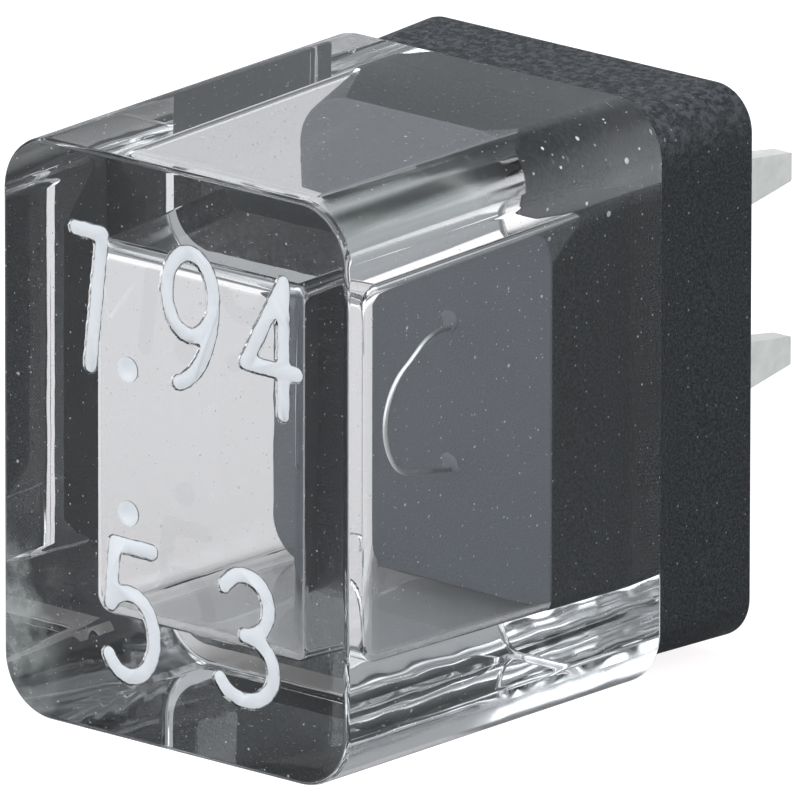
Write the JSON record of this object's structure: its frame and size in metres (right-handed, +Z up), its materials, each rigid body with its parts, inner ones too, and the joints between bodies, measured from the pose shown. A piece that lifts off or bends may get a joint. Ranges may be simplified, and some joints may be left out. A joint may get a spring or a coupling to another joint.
{
  "type": "micro fuse",
  "caption": "Plug-in micro fuse with a thick clear rectangular cap, a black moulded base, flat tinned contact blades and a bowed fuse wire inside.",
  "frame": {"origin": "middle of the seating face of the base, midway between the contact blades", "axes": "+Y out of the seating face along the blades, +Z up along the height of the cap, +X across its width"},
  "size_m": [0.006, 0.0124, 0.008],
  "materials": {
    "clear_plastic": "water-clear, polished",
    "black_plastic": "fine moulded texture",
    "tinned_metal": "satin tin plate",
    "wire_metal": "bright drawn wire",
    "solder_metal": "dull solder"
  },
  "bodies": {
    "root": {"clear_cap": "clear_plastic", "base": "black_plastic", "upper_blade": "tinned_metal", "lower_blade": "tinned_metal", "fuse_wire": "wire_metal", "upper_solder": "solder_metal", "lower_solder": "solder_metal"}
  },
  "joints": []
}
